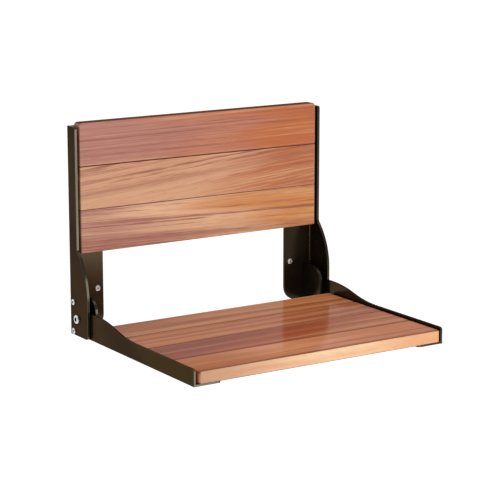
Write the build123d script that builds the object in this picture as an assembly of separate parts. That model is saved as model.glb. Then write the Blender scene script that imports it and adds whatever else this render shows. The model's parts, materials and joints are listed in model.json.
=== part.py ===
"""Wall-mounted folding shower seat: wooden boards on two steel wall brackets and two swinging arms.

Millimetres. X runs across the seat, +Y points into the wall, +Z up. The wall is the plane Y = 0.
The origin is on the wall, midway between the two visible wall-screw holes.
The right-hand (+X) pieces are drawn, and the left-hand ones are their mirror images.
In the sketches, depth is the distance from the wall and height is measured from the brackets' lower ends.
"""

import os
from math import asin, degrees, hypot, sqrt

from build123d import *

# Across the seat
OVERALL_W = 502.0  # between the outer faces of the two wall brackets
BRACKET_T = 5.0  # steel plate of the wall brackets
ARM_T = 4.0  # steel plate of the arms
ARM_GAP = 0.5  # side flange to arm, filled by the outer washer
EAR_GAP = 6.5  # arm to hinge ear, filled by the inner spacer
EAR_T = 5.0  # hinge ear plate
EAR_SKIN = 1.0  # plate left at the end of the ear's blind holes
BACK_END_GAP = 0.3  # back board end to the folded arm beside it
SEAT_END_GAP = 4.3  # seat board end to arm
WALL_FLANGE_W = 62.0
ARM_FLANGE_W = 51.0

# Boards
BOARD_T = 20.8
BOARD_GAP = 0.5  # between neighbouring boards
BACK_BOARD_H = 74.5
BACK_BOARDS = ("top", "middle", "bottom")
BACK_LOW_H = 143.8  # height of the back's lower edge
SEAT_BOARD_D = 81.1
SEAT_BOARDS = ("rear", "rear_middle", "front_middle", "front")
BOARD_EASE_R = 1.8  # eased edges of every board
BACK_CORNER_R = 6.0  # upper corners of the back
SEAT_CORNER_R = 4.5  # corners of the seat boards, seen from above

# Wall brackets
BRACKET_DROP = 6.3  # bracket top below the back's top edge
SIDE_LIP = 0.6  # side flange in front of the back's face
SIDE_LOW_D = 61.5  # depth of the side flange at the hinge
FLARE_R = 118.0  # swept front edge of the side flange
FLARE_BASE_H = 66.0  # height where that sweep starts
FLARE_NOTCH_R = 8.0  # inner corner at the sweep's upper end
SIDE_TOP_R = 4.5
SIDE_FOOT_R = 8.0
WALL_FOOT_R = 28.0  # lower inner corner of the wall flange
WALL_TOP_R = 5.0
ROOT_R = 2.5  # inside corner of the steel angles
PLATE_EASE = 0.5  # chamfer round the plates' outlines
SAME_PLACE = 0.01  # two places closer than this count as one

# Hinge
PIVOT_D = 24.5  # depth of the pivot
FOLD_GAP = 3.9  # folded seat to back
ARM_WALL_GAP = 3.0  # folded arm to wall flange
STOP_D = 12.0  # depth of the hinge screws, whose spacer tubes are the stops
STOP_DROP = 23.0  # lower hinge screw below the pivot
STOP_RISE = 28.0  # upper hinge screw above the pivot
STOP_R = 4.4
STOP_GAP = 0.3  # arm to either stop at the ends of its swing
EYE_R = 14.0  # arm round the pivot
EAR_MARGIN = 11.0  # ear above the upper hinge screw
EAR_R = 27.0  # upper front corner of the ear
SWING_GAP = 3.5  # arm flange to ear as the seat swings
RUN_FIT = 0.05  # bush on pivot bolt
SCREW_FIT = 0.05  # screws and bolts in their holes
FACE_GAP = 0.1  # washer and spacer to the moving arm

# Arms
ARM_LIP = 3.8  # arm above the seat's face
ARM_SETBACK = 3.5  # arm's front end behind the seat's front edge
SEAT_SETBACK = 10.5  # seat's rear edge in front of the arm flange's rear end
NECK_CLEAR = 1.2  # neck beyond the upper stop
SHOULDER_RUN = 8.0  # from the neck up to the arm's full height
SHOULDER_FLAT = 13.5  # straight top before the sweep
SWEEP_RUN = 135.0  # length of the arm's swept top edge
ARM_TIP_R = 5.0
SHOULDER_R = 4.0
ARM_HEEL_R = 2.0

# Fasteners: radius of shank and head, head height, socket across flats
BOLT_R = 5.0
BOLT_HEAD_R = 7.8
BOLT_HEAD_H = 3.8
BOLT_SOCKET_W = 7.0
HINGE_SCREW_R = 2.5
HINGE_HEAD_R = 5.2
HINGE_HEAD_H = 2.4
HINGE_SOCKET_W = 4.0
HEX_SIDES = 6
SQUARE_SIDES = 4
SOCKET_SHARE = 0.75  # depth of a socket as a share of its head's height
DOME_SHARE = 0.55  # rounding of a head as a share of its height
BUSH_R = 7.0
WASHER_R = 13.0
SPACER_R = 10.0
WOOD_SCREW_R = 2.25
WOOD_HEAD_R = 4.5
WOOD_HEAD_H = 2.8
WOOD_SOCKET_W = 2.6
FLAT_SOCKET_DEEP = 1.6  # socket in a flat head
WOOD_BITE = 14.0  # length of a wood screw in its board
WOOD_TIP = 4.0
SEAT_SCREW_SPREAD = 22.0  # seat screws either side of a board's middle
BACK_SCREW_SPREAD = 20.0
BACK_SCREW_EDGE = 34.0  # from the wall flange's inner edge

# Wall holes
WALL_HOLE_R = 3.3
WALL_HOLE_H = 75.0
WALL_HOLE_EDGE = 12.0  # from the wall flange's inner edge
KEY_ENTRY_R = 6.5
KEY_SLOT_R = 3.4
KEY_RUN = 14.0  # from the keyhole's round entry up to the end of its slot
KEY_DROP = 17.0  # entry below the middle of the top back board
POCKET_R = 8.0  # room for the hanging screw's head in the board
POCKET_DEEP = 6.0

# Places across the seat, for the right-hand side
SIDE_OUT = OVERALL_W / 2
SIDE_IN = SIDE_OUT - BRACKET_T
ARM_OUT = SIDE_IN - ARM_GAP
ARM_IN = ARM_OUT - ARM_T
EAR_OUT = ARM_IN - EAR_GAP
EAR_IN = EAR_OUT - EAR_T
BOLT_END = EAR_IN + EAR_SKIN
FLANGE_EDGE = SIDE_OUT - WALL_FLANGE_W
WALL_HOLE_X = FLANGE_EDGE + WALL_HOLE_EDGE
BACK_SCREW_X = FLANGE_EDGE + BACK_SCREW_EDGE
SEAT_SCREW_X = ARM_OUT - ARM_FLANGE_W / 2
BACK_W = 2 * (ARM_IN - BACK_END_GAP)
SEAT_W = 2 * (ARM_IN - SEAT_END_GAP)

# Heights above the brackets' lower ends, and depths from the wall
FOOT_Z = -WALL_HOLE_H
BACK_PITCH = BACK_BOARD_H + BOARD_GAP
BACK_TOP_H = BACK_LOW_H + len(BACK_BOARDS) * BACK_PITCH - BOARD_GAP
BRACKET_H = BACK_TOP_H - BRACKET_DROP
BACK_FACE_D = BRACKET_T + BOARD_T
SIDE_TOP_D = BACK_FACE_D + SIDE_LIP
SEAT_FACE_H = ARM_T + BOARD_T
PIVOT_H = SEAT_FACE_H + BACK_FACE_D + FOLD_GAP - PIVOT_D
STOP_LOW_H = PIVOT_H - STOP_DROP
STOP_HIGH_H = PIVOT_H + STOP_RISE
STOP_HEIGHTS = (STOP_LOW_H, STOP_HIGH_H)
EAR_H = STOP_HIGH_H + EAR_MARGIN
HEEL_D = STOP_D + STOP_R + STOP_GAP
NECK_H = PIVOT_H + PIVOT_D - HEEL_D
NECK_END_D = PIVOT_D + STOP_RISE + STOP_R + NECK_CLEAR
ARM_REAR_H = PIVOT_H + PIVOT_D - BRACKET_T - ARM_WALL_GAP
ARM_FRONT_H = SEAT_FACE_H + ARM_LIP
EAR_REACH = SIDE_LOW_D - PIVOT_D
EAR_SWING = max(hypot(EAR_REACH, PIVOT_H), hypot(EAR_REACH - EAR_R, EAR_H - PIVOT_H))
ARM_FLANGE_D = PIVOT_D + sqrt((EAR_SWING + SWING_GAP) ** 2 - (PIVOT_H - ARM_T) ** 2)
SEAT_REAR_D = ARM_FLANGE_D + SEAT_SETBACK
SEAT_PITCH = SEAT_BOARD_D + BOARD_GAP
SEAT_FRONT_D = SEAT_REAR_D + len(SEAT_BOARDS) * SEAT_PITCH - BOARD_GAP
ARM_FRONT_D = SEAT_FRONT_D - ARM_SETBACK
KEY_ENTRY_H = BACK_TOP_H - BACK_BOARD_H / 2 - KEY_DROP


def side_plane(x):
    """A plane square to X: depth to the right, height upward, facing the middle of the seat."""
    return Plane(origin=(x, 0, FOOT_Z), x_dir=(0, -1, 0), z_dir=(-1, 0, 0))


def wall_plane(depth):
    """A plane along the wall: X to the right, height upward, facing away from the wall."""
    return Plane(origin=(0, -depth, FOOT_Z), x_dir=(1, 0, 0), z_dir=(0, -1, 0))


def level_plane(height):
    """A level plane, X to the right and depth towards the viewer as negative Y, facing up."""
    return Plane(origin=(0, 0, FOOT_Z + height), x_dir=(1, 0, 0), z_dir=(0, 0, 1))


def cross_bar(x_from, x_to, depth, height, radius):
    """A round bar along X, from the outer x inward."""
    disc = side_plane(x_from).location * Pos(depth, height) * Circle(radius)
    return extrude(disc, amount=x_from - x_to)


def cross_tube(x_from, x_to, depth, height, radius, bore):
    return cross_bar(x_from, x_to, depth, height, radius) - cross_bar(x_from, x_to, depth, height, bore)


def near(points, u, v):
    """The vertex of a sketch that lies closest to (u, v)."""
    return min(points, key=lambda p: hypot(p.X - u, p.Y - v))


def edges_along(solid, axis, **place):
    """Straight edges along an axis whose middle lies at the given X, Y or Z."""
    def fits(edge):
        middle = edge.center()
        return all(abs(getattr(middle, name) - value) < SAME_PLACE for name, value in place.items())

    return [edge for edge in solid.edges().filter_by(axis) if fits(edge)]


def ease_outline(solid, axis):
    """Chamfer the outline of the two faces of a plate that is square to an axis."""
    faces = solid.faces().filter_by(axis).sort_by(axis)
    rims = faces[0].outer_wire().edges() + faces[-1].outer_wire().edges()
    return chamfer(rims, PLATE_EASE)


def side_flange():
    """Side flange of the right bracket: narrow beside the back, swept out at the hinge."""
    sweep_angle = degrees(asin(sqrt(FLARE_R**2 - (FLARE_R - SIDE_LOW_D + SIDE_TOP_D) ** 2) / FLARE_R))
    sweep = CenterArc((SIDE_LOW_D - FLARE_R, FLARE_BASE_H), FLARE_R, 0, sweep_angle)
    notch = sweep @ 1
    front = Polyline((0, 0), (SIDE_LOW_D, 0), (SIDE_LOW_D, FLARE_BASE_H))
    rest = Polyline((notch.X, notch.Y), (SIDE_TOP_D, BRACKET_H), (0, BRACKET_H), (0, 0))
    outline = make_face([*front.edges(), sweep, *rest.edges()])
    outline = fillet(near(outline.vertices(), SIDE_LOW_D, 0), SIDE_FOOT_R)
    outline = fillet(near(outline.vertices(), SIDE_TOP_D, BRACKET_H), SIDE_TOP_R)
    outline = fillet(near(outline.vertices(), notch.X, notch.Y), FLARE_NOTCH_R)
    return ease_outline(extrude(side_plane(SIDE_OUT) * outline, amount=BRACKET_T), Axis.X)


def wall_flange():
    """Flange of the right bracket that lies on the wall."""
    outline = Pos((FLANGE_EDGE + SIDE_OUT) / 2, BRACKET_H / 2) * Rectangle(WALL_FLANGE_W, BRACKET_H)
    outline = fillet(near(outline.vertices(), FLANGE_EDGE, 0), WALL_FOOT_R)
    outline = fillet(near(outline.vertices(), FLANGE_EDGE, BRACKET_H), WALL_TOP_R)
    return ease_outline(extrude(wall_plane(0) * outline, amount=BRACKET_T), Axis.Y)


def back_screw_places():
    """X and height of the screws that hold the back boards, board by board from the top."""
    rows = []
    for index in range(len(BACK_BOARDS)):
        middle = BACK_TOP_H - BACK_BOARD_H / 2 - index * BACK_PITCH
        rows.append([(BACK_SCREW_X, middle + step) for step in (BACK_SCREW_SPREAD, -BACK_SCREW_SPREAD)])
    return rows


def seat_screw_places():
    """X and depth of the screws that hold the seat boards, board by board from the rear."""
    rows = []
    for index in range(len(SEAT_BOARDS)):
        middle = SEAT_REAR_D + SEAT_BOARD_D / 2 + index * SEAT_PITCH
        rows.append([(SEAT_SCREW_X, middle + step) for step in (-SEAT_SCREW_SPREAD, SEAT_SCREW_SPREAD)])
    return rows


def countersunk_screw(fit=0.0):
    """Wood screw along +Z with its flat head level with Z = 0; a fit makes it the hole instead."""
    sink = WOOD_HEAD_R - WOOD_SCREW_R
    shank = BRACKET_T + WOOD_BITE - WOOD_TIP
    at_foot = (Align.CENTER, Align.CENTER, Align.MIN)
    head = Cone(WOOD_HEAD_R + fit, WOOD_SCREW_R + fit, sink, align=at_foot)
    return head + wood_shank(shank, fit)


def wood_shank(shank, fit=0.0):
    """Plain shank along +Z from Z = 0, with a pointed tip."""
    at_foot = (Align.CENTER, Align.CENTER, Align.MIN)
    body = Cylinder(WOOD_SCREW_R + fit, shank, align=at_foot)
    tip = Cone(WOOD_SCREW_R + fit, fit, WOOD_TIP + fit, align=at_foot)
    return body + Pos(0, 0, shank) * tip


def socket_head(radius, height, socket_w, socket_sides):
    """Domed head along -Z from Z = 0, with a driving socket in its crown."""
    head = Cylinder(radius, height, align=(Align.CENTER, Align.CENTER, Align.MAX))
    head = fillet(head.edges().filter_by(GeomType.CIRCLE).sort_by(Axis.Z)[0], DOME_SHARE * height)
    socket = RegularPolygon(socket_w / 2, socket_sides, major_radius=False)
    return head - extrude(Pos(0, 0, -height) * socket, amount=SOCKET_SHARE * height)


def inward_from(x, depth, height):
    """Place whose Z axis runs from the outer x towards the middle of the seat."""
    return side_plane(x).location * Pos(depth, height)


def wall_bracket():
    bracket = side_flange() + wall_flange()
    bracket = fillet(edges_along(bracket, Axis.Z, X=SIDE_IN, Y=-BRACKET_T), ROOT_R)
    bracket -= cross_bar(SIDE_OUT, SIDE_IN, PIVOT_D, PIVOT_H, BOLT_R + SCREW_FIT)
    for height in STOP_HEIGHTS:
        bracket -= cross_bar(SIDE_OUT, SIDE_IN, STOP_D, height, HINGE_SCREW_R + SCREW_FIT)
    holes = [Pos(WALL_HOLE_X, WALL_HOLE_H) * Circle(WALL_HOLE_R)]
    holes.append(Pos(WALL_HOLE_X, KEY_ENTRY_H) * Circle(KEY_ENTRY_R))
    holes.append(Pos(WALL_HOLE_X, KEY_ENTRY_H + KEY_RUN) * Circle(KEY_SLOT_R))
    holes.append(Pos(WALL_HOLE_X, KEY_ENTRY_H + KEY_RUN / 2) * Rectangle(2 * KEY_SLOT_R, KEY_RUN))
    for hole in holes:
        bracket -= extrude(wall_plane(0) * hole, amount=BRACKET_T)
    for x, height in sum(back_screw_places(), []):
        bracket -= wall_plane(0).location * Pos(x, height) * countersunk_screw(SCREW_FIT)
    return bracket


def hinge_ear():
    """Plate on the inner side of the hinge, standing on the wall flange; its holes are blind."""
    outline = Pos((BRACKET_T + SIDE_LOW_D) / 2, EAR_H / 2) * Rectangle(SIDE_LOW_D - BRACKET_T, EAR_H)
    outline = fillet(near(outline.vertices(), SIDE_LOW_D, EAR_H), EAR_R)
    outline = fillet(near(outline.vertices(), SIDE_LOW_D, 0), SIDE_FOOT_R)
    ear = ease_outline(extrude(side_plane(EAR_OUT) * outline, amount=EAR_T), Axis.X)
    ear -= cross_bar(EAR_OUT, BOLT_END, PIVOT_D, PIVOT_H, BOLT_R + SCREW_FIT)
    for height in STOP_HEIGHTS:
        ear -= cross_bar(EAR_OUT, BOLT_END, STOP_D, height, HINGE_SCREW_R + SCREW_FIT)
    return ear


def stop_spacers():
    """Tubes round the hinge screws, which hold the ear off the side flange and stop the arm."""
    bore = HINGE_SCREW_R + SCREW_FIT
    return [cross_tube(SIDE_IN, EAR_OUT, STOP_D, height, STOP_R, bore) for height in STOP_HEIGHTS]


def hinge_screws():
    screws = []
    for height in STOP_HEIGHTS:
        head = socket_head(HINGE_HEAD_R, HINGE_HEAD_H, HINGE_SOCKET_W, HEX_SIDES)
        shank = cross_bar(SIDE_OUT, BOLT_END, STOP_D, height, HINGE_SCREW_R)
        screws.append(inward_from(SIDE_OUT, STOP_D, height) * head + shank)
    return screws


def pivot_bolt():
    head = socket_head(BOLT_HEAD_R, BOLT_HEAD_H, BOLT_SOCKET_W, HEX_SIDES)
    shank = cross_bar(SIDE_OUT, BOLT_END, PIVOT_D, PIVOT_H, BOLT_R)
    return inward_from(SIDE_OUT, PIVOT_D, PIVOT_H) * head + shank


def outer_washer():
    """Friction washer between the side flange and the arm."""
    return cross_tube(SIDE_IN, ARM_OUT + FACE_GAP, PIVOT_D, PIVOT_H, WASHER_R, BOLT_R + SCREW_FIT)


def inner_spacer():
    """Spacer between the arm and the ear."""
    return cross_tube(ARM_IN - FACE_GAP, EAR_OUT, PIVOT_D, PIVOT_H, SPACER_R, BOLT_R + SCREW_FIT)


def pivot_bush():
    return cross_tube(ARM_OUT, ARM_IN, PIVOT_D, PIVOT_H, BUSH_R, BOLT_R + RUN_FIT)


def arm_side():
    """Upright side of the right arm, with its pivot eye, heel, neck and swept top edge."""
    sweep_start = NECK_END_D + SHOULDER_RUN + SHOULDER_FLAT
    sweep_end = sweep_start + SWEEP_RUN
    middle = ((sweep_start + sweep_end) / 2, (ARM_REAR_H + ARM_FRONT_H) / 2)
    tip = (ARM_FRONT_D, ARM_FRONT_H)
    foot = Polyline((HEEL_D, PIVOT_H), (HEEL_D, 0), (ARM_FRONT_D, 0), tip, (sweep_end, ARM_FRONT_H))
    front_half = TangentArc((sweep_end, ARM_FRONT_H), middle, tangent=(-1, 0))
    rear_half = TangentArc((sweep_start, ARM_REAR_H), middle, tangent=(1, 0))
    shoulder = (NECK_END_D + SHOULDER_RUN, ARM_REAR_H)
    neck_end = (NECK_END_D, NECK_H)
    neck = Polyline((sweep_start, ARM_REAR_H), shoulder, neck_end, (PIVOT_D, NECK_H), (HEEL_D, PIVOT_H))
    outline = make_face([*foot.edges(), front_half, rear_half, *neck.edges()])
    corners = {tip: ARM_TIP_R, (HEEL_D, 0): ARM_HEEL_R, shoulder: SHOULDER_R, neck_end: SHOULDER_R}
    for corner, radius in corners.items():
        outline = fillet(near(outline.vertices(), *corner), radius)
    outline += Pos(PIVOT_D, PIVOT_H) * Circle(EYE_R)
    return ease_outline(extrude(side_plane(ARM_OUT) * outline, amount=ARM_T), Axis.X)


def arm_flange():
    """Flange of the right arm that carries the seat boards."""
    run = ARM_FRONT_D - ARM_FLANGE_D
    outline = Pos(ARM_OUT - ARM_FLANGE_W / 2, -ARM_FLANGE_D - run / 2) * Rectangle(ARM_FLANGE_W, run)
    inner = ARM_OUT - ARM_FLANGE_W
    for depth in (ARM_FLANGE_D, ARM_FRONT_D):
        outline = fillet(near(outline.vertices(), inner, -depth), ARM_TIP_R)
    return ease_outline(extrude(level_plane(0) * outline, amount=ARM_T), Axis.Z)


def seat_arm():
    arm = arm_side() + arm_flange()
    arm = fillet(edges_along(arm, Axis.Y, X=ARM_IN, Z=FOOT_Z + ARM_T), ROOT_R)
    arm -= cross_bar(ARM_OUT, ARM_IN, PIVOT_D, PIVOT_H, BUSH_R + SCREW_FIT)
    for x, depth in sum(seat_screw_places(), []):
        hole = Pos(x, -depth) * Circle(WOOD_SCREW_R + SCREW_FIT)
        arm -= extrude(level_plane(0) * hole, amount=ARM_T)
    return arm


def eased_board(width, depth, height, round_edges, radius):
    """Board centred on the origin, with some edges rounded more and all the others eased."""
    board = Box(width, depth, height)
    if round_edges:
        board = fillet(round_edges(board), radius)
    return fillet(board.edges().filter_by(lambda edge: edge.length > 2 * BOARD_EASE_R), BOARD_EASE_R)


def upper_edges(board):
    """The two edges at a back board's upper corners."""
    return board.edges().filter_by(Axis.Y).group_by(Axis.Z)[-1]


def upright_edges(board):
    """The four edges at a seat board's corners."""
    return board.edges().filter_by(Axis.Z)


def back_board(index):
    """Back board, counted from the top; the top one has rounded upper corners and screw-head pockets."""
    top = index == 0
    middle = BACK_TOP_H - BACK_BOARD_H / 2 - index * BACK_PITCH
    board = eased_board(BACK_W, BOARD_T, BACK_BOARD_H, upper_edges if top else None, BACK_CORNER_R)
    board = Pos(0, -BRACKET_T - BOARD_T / 2, FOOT_Z + middle) * board
    for side in (-1, 1):
        for x, height in back_screw_places()[index]:
            board -= wall_plane(0).location * Pos(side * x, height) * countersunk_screw(SCREW_FIT)
        if top:
            pocket = SlotCenterToCenter(KEY_RUN, 2 * POCKET_R, rotation=90)
            place = Pos(side * WALL_HOLE_X, KEY_ENTRY_H + KEY_RUN / 2)
            board -= extrude(wall_plane(BRACKET_T) * place * pocket, amount=POCKET_DEEP)
    return board


def seat_board(index):
    """Seat board, counted from the rear, with rounded corners."""
    middle = SEAT_REAR_D + SEAT_BOARD_D / 2 + index * SEAT_PITCH
    board = eased_board(SEAT_W, SEAT_BOARD_D, BOARD_T, upright_edges, SEAT_CORNER_R)
    board = Pos(0, -middle, FOOT_Z + ARM_T + BOARD_T / 2) * board
    for side in (-1, 1):
        for x, depth in seat_screw_places()[index]:
            hole = wood_shank(ARM_T + WOOD_BITE - WOOD_TIP, SCREW_FIT)
            board -= level_plane(0).location * Pos(side * x, -depth) * hole
    return board


def back_screws():
    """Screws through the right wall flange into the back boards, with sockets in their flat heads."""
    socket = RegularPolygon(WOOD_SOCKET_W / 2, SQUARE_SIDES, major_radius=False)
    screw = countersunk_screw() - extrude(socket, amount=FLAT_SOCKET_DEEP)
    places = sum(back_screw_places(), [])
    return [wall_plane(0).location * Pos(x, height) * screw for x, height in places]


def seat_screws():
    """Screws up through the right arm's flange into the seat boards."""
    head = socket_head(WOOD_HEAD_R, WOOD_HEAD_H, WOOD_SOCKET_W, SQUARE_SIDES)
    screw = head + wood_shank(ARM_T + WOOD_BITE - WOOD_TIP)
    places = sum(seat_screw_places(), [])
    return [level_plane(0).location * Pos(x, -depth) * screw for x, depth in places]


def save(node, pieces):
    """Write one node; several separate solids go into it as a group."""
    shape = Compound(children=pieces) if isinstance(pieces, list) else pieces
    export_step(shape, f"parts/{node}.step")


def save_pair(name, pieces):
    """Write the right-hand node and its mirror image."""
    group = isinstance(pieces, list)
    flipped = [mirror(piece, about=Plane.YZ) for piece in (pieces if group else [pieces])]
    save(f"right_{name}", pieces)
    save(f"left_{name}", flipped if group else flipped[0])


PAIRS = {
    "wall_bracket": wall_bracket,
    "hinge_ear": hinge_ear,
    "stop_spacers": stop_spacers,
    "hinge_screws": hinge_screws,
    "pivot_bolt": pivot_bolt,
    "outer_washer": outer_washer,
    "inner_spacer": inner_spacer,
    "pivot_bush": pivot_bush,
    "seat_arm": seat_arm,
    "back_screws": back_screws,
    "seat_screws": seat_screws,
}

os.makedirs("parts", exist_ok=True)
for pair_name, make in PAIRS.items():
    save_pair(pair_name, make())
for board_index, board_name in enumerate(BACK_BOARDS):
    save(f"back_board_{board_name}", back_board(board_index))
for board_index, board_name in enumerate(SEAT_BOARDS):
    save(f"seat_board_{board_name}", seat_board(board_index))

print(f"overall {OVERALL_W:.1f} wide, {SEAT_FRONT_D:.1f} deep, {BACK_TOP_H:.1f} high")
print(f"pivot {PIVOT_D:.1f} from the wall at Z {FOOT_Z + PIVOT_H:.1f}")
print(f"wall holes {2 * WALL_HOLE_X:.1f} apart, keyhole entries at Z {FOOT_Z + KEY_ENTRY_H:.2f}")
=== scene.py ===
# %% [markdown]
# A folding shower seat hangs on a wall: four wooden seat boards on two steel arms, three back boards on
# two steel angle brackets, and a hinge on each side. The solid model already holds every piece at its real
# size, so this lesson adds what a solid model lacks: wood grain, a bronze coating, bright screws, light
# and a camera.

# %% Load the packed model
import json
from math import cos, pi, radians, sin

import bmesh
import bpy
from mathutils import Matrix, Vector


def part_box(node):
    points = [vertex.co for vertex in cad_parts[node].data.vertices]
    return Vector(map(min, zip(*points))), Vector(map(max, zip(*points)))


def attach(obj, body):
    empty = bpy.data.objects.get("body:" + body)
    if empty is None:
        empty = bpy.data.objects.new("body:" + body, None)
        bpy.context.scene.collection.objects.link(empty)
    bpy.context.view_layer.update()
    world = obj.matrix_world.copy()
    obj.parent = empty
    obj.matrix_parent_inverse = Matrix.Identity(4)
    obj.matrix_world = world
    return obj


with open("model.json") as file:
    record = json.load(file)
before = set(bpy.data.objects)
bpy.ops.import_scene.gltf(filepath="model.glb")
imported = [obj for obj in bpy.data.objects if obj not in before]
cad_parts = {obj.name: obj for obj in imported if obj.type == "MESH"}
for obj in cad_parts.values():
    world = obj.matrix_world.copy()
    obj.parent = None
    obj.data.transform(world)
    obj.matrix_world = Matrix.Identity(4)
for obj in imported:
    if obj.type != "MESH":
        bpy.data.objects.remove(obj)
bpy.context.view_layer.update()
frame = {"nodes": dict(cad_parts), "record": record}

nodes = frame["nodes"]

# %% [markdown]
# The camera stands to the left and in front, a little above the seat, with a long lens, so the boards'
# edges converge only slightly. The place and the two angles are set so that the corners of the seat and
# the back land on the same spots of a square picture as they do in the reference view. The lens has no
# shift, which keeps the object in the middle when the camera is carried round to another side.

# %% Set up the camera
CAMERA_PLACE = Vector((-1.683, -2.797, 0.7406))
CAMERA_YAW = radians(32.758)
CAMERA_PITCH = radians(12.067)
LENS_MM = 134.41
SENSOR_MM = 36.0

camera_data = bpy.data.cameras.new("seat_camera")
camera_data.lens = LENS_MM
camera_data.sensor_width = SENSOR_MM
camera = bpy.data.objects.new("seat_camera", camera_data)
camera.location = CAMERA_PLACE
camera.rotation_euler = (pi / 2 - CAMERA_PITCH, 0, -CAMERA_YAW)
bpy.context.scene.collection.objects.link(camera)
bpy.context.scene.camera = camera
bpy.context.scene.view_settings.view_transform = "Standard"
print("camera to origin", round(CAMERA_PLACE.length, 3), "m")

# %% [markdown]
# Materials are graphs of nodes. Adding each node and each wire by hand takes many lines, so a small helper
# gives short words for the ones used here. Most of its methods give back an output socket, and an argument
# may be such a socket or a plain number or colour, so the calls nest like a formula.


# %% A short language for node graphs
class Graph:
    """Adds nodes to one node tree and wires them up."""

    def __init__(self, tree):
        self.tree = tree

    def node(self, kind, **settings):
        made = self.tree.nodes.new("ShaderNode" + kind)
        for name, value in settings.items():
            setattr(made, name, value)
        return made

    def feed(self, socket, value):
        """Wire a socket to an output, or write a plain value on it."""
        if isinstance(value, bpy.types.NodeSocket):
            self.tree.links.new(value, socket)
        else:
            socket.default_value = value

    def math(self, operation, *values, clamp=False):
        made = self.node("Math", operation=operation, use_clamp=clamp)
        for socket, value in zip(made.inputs, values):
            self.feed(socket, value)
        return made.outputs[0]

    def vector(self, operation, first, second):
        made = self.node("VectorMath", operation=operation)
        self.feed(made.inputs[0], first)
        self.feed(made.inputs[1], second)
        return made.outputs["Value" if operation in ("DOT_PRODUCT", "DISTANCE") else "Vector"]

    def split(self, vector):
        made = self.node("SeparateXYZ")
        self.feed(made.inputs[0], vector)
        return list(made.outputs)

    def join(self, x, y, z):
        made = self.node("CombineXYZ")
        for socket, value in zip(made.inputs, (x, y, z)):
            self.feed(socket, value)
        return made.outputs[0]

    def noise(self, vector, scale, detail=2.0, roughness=0.5):
        made = self.node("TexNoise")
        self.feed(made.inputs["Vector"], vector)
        self.feed(made.inputs["Scale"], scale)
        self.feed(made.inputs["Detail"], detail)
        self.feed(made.inputs["Roughness"], roughness)
        return made.outputs["Fac"]

    def fade(self, value, start, end, low=0.0, high=1.0):
        """Smooth step from low to high as the value goes from start to end."""
        made = self.node("MapRange", interpolation_type="SMOOTHSTEP")
        given = {"Value": value, "From Min": start, "From Max": end, "To Min": low, "To Max": high}
        for name, amount in given.items():
            self.feed(made.inputs[name], amount)
        return made.outputs["Result"]

    def mix(self, factor, first, second, blend="MIX"):
        made = self.node("Mix", data_type="RGBA", blend_type=blend)
        self.feed(made.inputs["Factor"], factor)
        self.feed(made.inputs["A"], first)
        self.feed(made.inputs["B"], second)
        return made.outputs["Result"]

    def group(self, tree, values):
        """Place a node group, with its inputs' values by name, and give its outputs."""
        made = self.node("Group", node_tree=tree)
        for name, value in values.items():
            self.feed(made.inputs[name], value)
        return made.outputs


print("graph words", [word for word in vars(Graph) if not word.startswith("_")])

# %% [markdown]
# The set is a plain white studio. The floor lies well below the seat, as it does under a real one, and
# reaches so far that a camera which looks down a little sees nothing else behind the seat. More light
# would make it white, but that would wash out the seat too. So the floor glows, and the Light Path node
# tells the glow which kind of ray asks. The camera finds it white. A mirrored ray finds it white under and
# behind the seat and dim in front, which keeps the metal dark. A ray that carries light finds no glow. The
# glow is added to the floor's ordinary shading, so the seat's shadow stays.


# %% Floor
def rgb(red, green, blue):
    return (red, green, blue, 1.0)


FLOOR_Z = -0.46
FLOOR_REACH = 40.0
FLOOR_CORNERS = ((-1, -1), (1, -1), (1, 1), (-1, 1))
FLOOR_COLOUR = rgb(0.82, 0.82, 0.82)
FLOOR_LIFT = 0.66  # what the plain shading lacks to be white
FLOOR_FRONT = (-1.2, -0.6)  # Y where a mirrored floor is dim, and where it is white
FLOOR_GLOW = 0.0
FRONT_LEVEL = 0.15


def studio_level(graph, forward, start, end, plain):
    """1 for camera rays and a plain level for lighting ones; mirrored ones find the studio dim in front."""
    path = graph.node("LightPath").outputs
    mirrored = graph.math("MAXIMUM", path["Is Glossy Ray"], path["Is Transmission Ray"])
    behind = graph.fade(forward, start, end, FRONT_LEVEL, 1.0)
    level = graph.fade(mirrored, 0.0, 1.0, plain, behind)
    return graph.fade(path["Is Camera Ray"], 0.0, 1.0, level, 1.0)


def white_floor():
    """A matt pale floor with a glow on top of its shading."""
    material = bpy.data.materials.new("white_floor")
    material.use_nodes = True
    material.node_tree.nodes.clear()
    graph = Graph(material.node_tree)
    plain = graph.node("BsdfDiffuse")
    plain.inputs["Color"].default_value = FLOOR_COLOUR
    lift = graph.node("Emission")
    place = graph.node("TexCoord").outputs["Object"]
    level = studio_level(graph, graph.split(place)[1], *FLOOR_FRONT, FLOOR_GLOW)
    graph.feed(lift.inputs["Strength"], graph.math("MULTIPLY", level, FLOOR_LIFT))
    both = graph.node("AddShader")
    graph.feed(both.inputs[0], plain.outputs[0])
    graph.feed(both.inputs[1], lift.outputs[0])
    graph.feed(graph.node("OutputMaterial").inputs["Surface"], both.outputs[0])
    return material


corners = [(x * FLOOR_REACH, y * FLOOR_REACH, FLOOR_Z) for x, y in FLOOR_CORNERS]
floor_mesh = bpy.data.meshes.new("floor")
floor_mesh.from_pydata(corners, [], [range(len(corners))])
floor_mesh.materials.append(white_floor())
floor = bpy.data.objects.new("floor", floor_mesh)
bpy.context.scene.collection.objects.link(floor)
print("floor at", FLOOR_Z, "m, reaching", FLOOR_REACH, "m each way")

# %% [markdown]
# The world stands for the walls and the ceiling of the studio. A picture of a studio could light it, but a
# plain white one shows the finishes just as well. It follows the same rule as the floor: white for the
# camera, white behind and dim in front for mirrored rays, and half as strong for the rays that light the
# seat, so that the lamps decide which faces are bright.

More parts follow.
